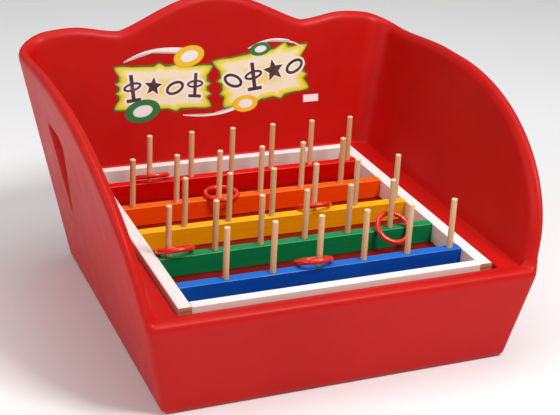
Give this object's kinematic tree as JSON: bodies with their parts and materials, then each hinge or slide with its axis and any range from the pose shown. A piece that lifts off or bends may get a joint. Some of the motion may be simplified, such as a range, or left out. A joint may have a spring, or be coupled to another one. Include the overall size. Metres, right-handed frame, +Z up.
{
  "type": "ring toss set",
  "caption": "Moulded tub-shaped ring toss game with a lift-out rack of staggered dowel pegs on coloured slats, and loose rings resting on the pegs.",
  "frame": {"origin": "on the ground, under the middle of the overall box of the set", "axes": "+Z up; +X to the player's right along the slats; +Y from the low front rim to the tall back wall"},
  "size_m": [0.9762, 0.8982, 0.596],
  "materials": {
    "tub_plastic": "moulded satin with a fine orange-peel skin",
    "decal_film": "printed vinyl film",
    "label_film": "plain white film",
    "rail_paint": "white painted softwood",
    "blue_paint": "blue painted softwood",
    "green_paint": "green painted softwood",
    "yellow_paint": "amber painted softwood",
    "orange_paint": "orange painted softwood",
    "red_paint": "red painted softwood",
    "peg_wood": "natural birch dowel",
    "screw_steel": "zinc plated",
    "ring_plastic": "glossy moulded"
  },
  "bodies": {
    "tub": {"tub_shell": "tub_plastic", "back_decal": "decal_film", "blank_label": "label_film"},
    "rack": {"side_rail_left": "rail_paint", "side_rail_right": "rail_paint", "front_rail": "rail_paint", "back_rail": "rail_paint", "rail_screws_left": "screw_steel", "rail_screws_right": "screw_steel", "slat_blue": "blue_paint", "slat_green": "green_paint", "slat_yellow": "yellow_paint", "slat_orange": "orange_paint", "slat_red": "red_paint", "peg_blue_1": "peg_wood", "peg_blue_2": "peg_wood", "peg_blue_3": "peg_wood", "peg_blue_4": "peg_wood", "peg_blue_5": "peg_wood", "peg_blue_6": "peg_wood", "peg_green_1": "peg_wood", "peg_green_2": "peg_wood", "peg_green_3": "peg_wood", "peg_green_4": "peg_wood", "peg_green_5": "peg_wood", "peg_green_6": "peg_wood", "peg_yellow_1": "peg_wood", "peg_yellow_2": "peg_wood", "peg_yellow_3": "peg_wood", "peg_yellow_4": "peg_wood", "peg_yellow_5": "peg_wood", "peg_yellow_6": "peg_wood", "peg_orange_1": "peg_wood", "peg_orange_2": "peg_wood", "peg_orange_3": "peg_wood", "peg_orange_4": "peg_wood", "peg_orange_5": "peg_wood", "peg_orange_6": "peg_wood", "peg_red_1": "peg_wood", "peg_red_2": "peg_wood", "peg_red_3": "peg_wood", "peg_red_4": "peg_wood", "peg_red_5": "peg_wood", "peg_red_6": "peg_wood"},
    "ring_1": {"ring_1": "ring_plastic"},
    "ring_2": {"ring_2": "ring_plastic"},
    "ring_3": {"ring_3": "ring_plastic"},
    "ring_4": {"ring_4": "ring_plastic"},
    "ring_5": {"ring_5": "ring_plastic"},
    "ring_6": {"ring_6": "ring_plastic"}
  },
  "joints": [
    {"name": "rack_lift", "type": "slide", "parent": "tub", "child": "rack", "axis": [0, 0, 1], "range_m": [0, 0.44]},
    {"name": "ring_1_lift", "type": "slide", "parent": "rack", "child": "ring_1", "axis": [0, 0, 1], "range_m": [0, 0.16]},
    {"name": "ring_2_lift", "type": "slide", "parent": "rack", "child": "ring_2", "axis": [0, 0, 1], "range_m": [0, 0.16]},
    {"name": "ring_3_lift", "type": "slide", "parent": "rack", "child": "ring_3", "axis": [0, 0, 1], "range_m": [0, 0.16]},
    {"name": "ring_4_lift", "type": "slide", "parent": "rack", "child": "ring_4", "axis": [0, 0, 1], "range_m": [0, 0.16]},
    {"name": "ring_5_lift", "type": "slide", "parent": "rack", "child": "ring_5", "axis": [0, 0, 1], "range_m": [0, 0.16]},
    {"name": "ring_6_lift", "type": "slide", "parent": "rack", "child": "ring_6", "axis": [0, 0, 1], "range_m": [0, 0.16]}
  ]
}
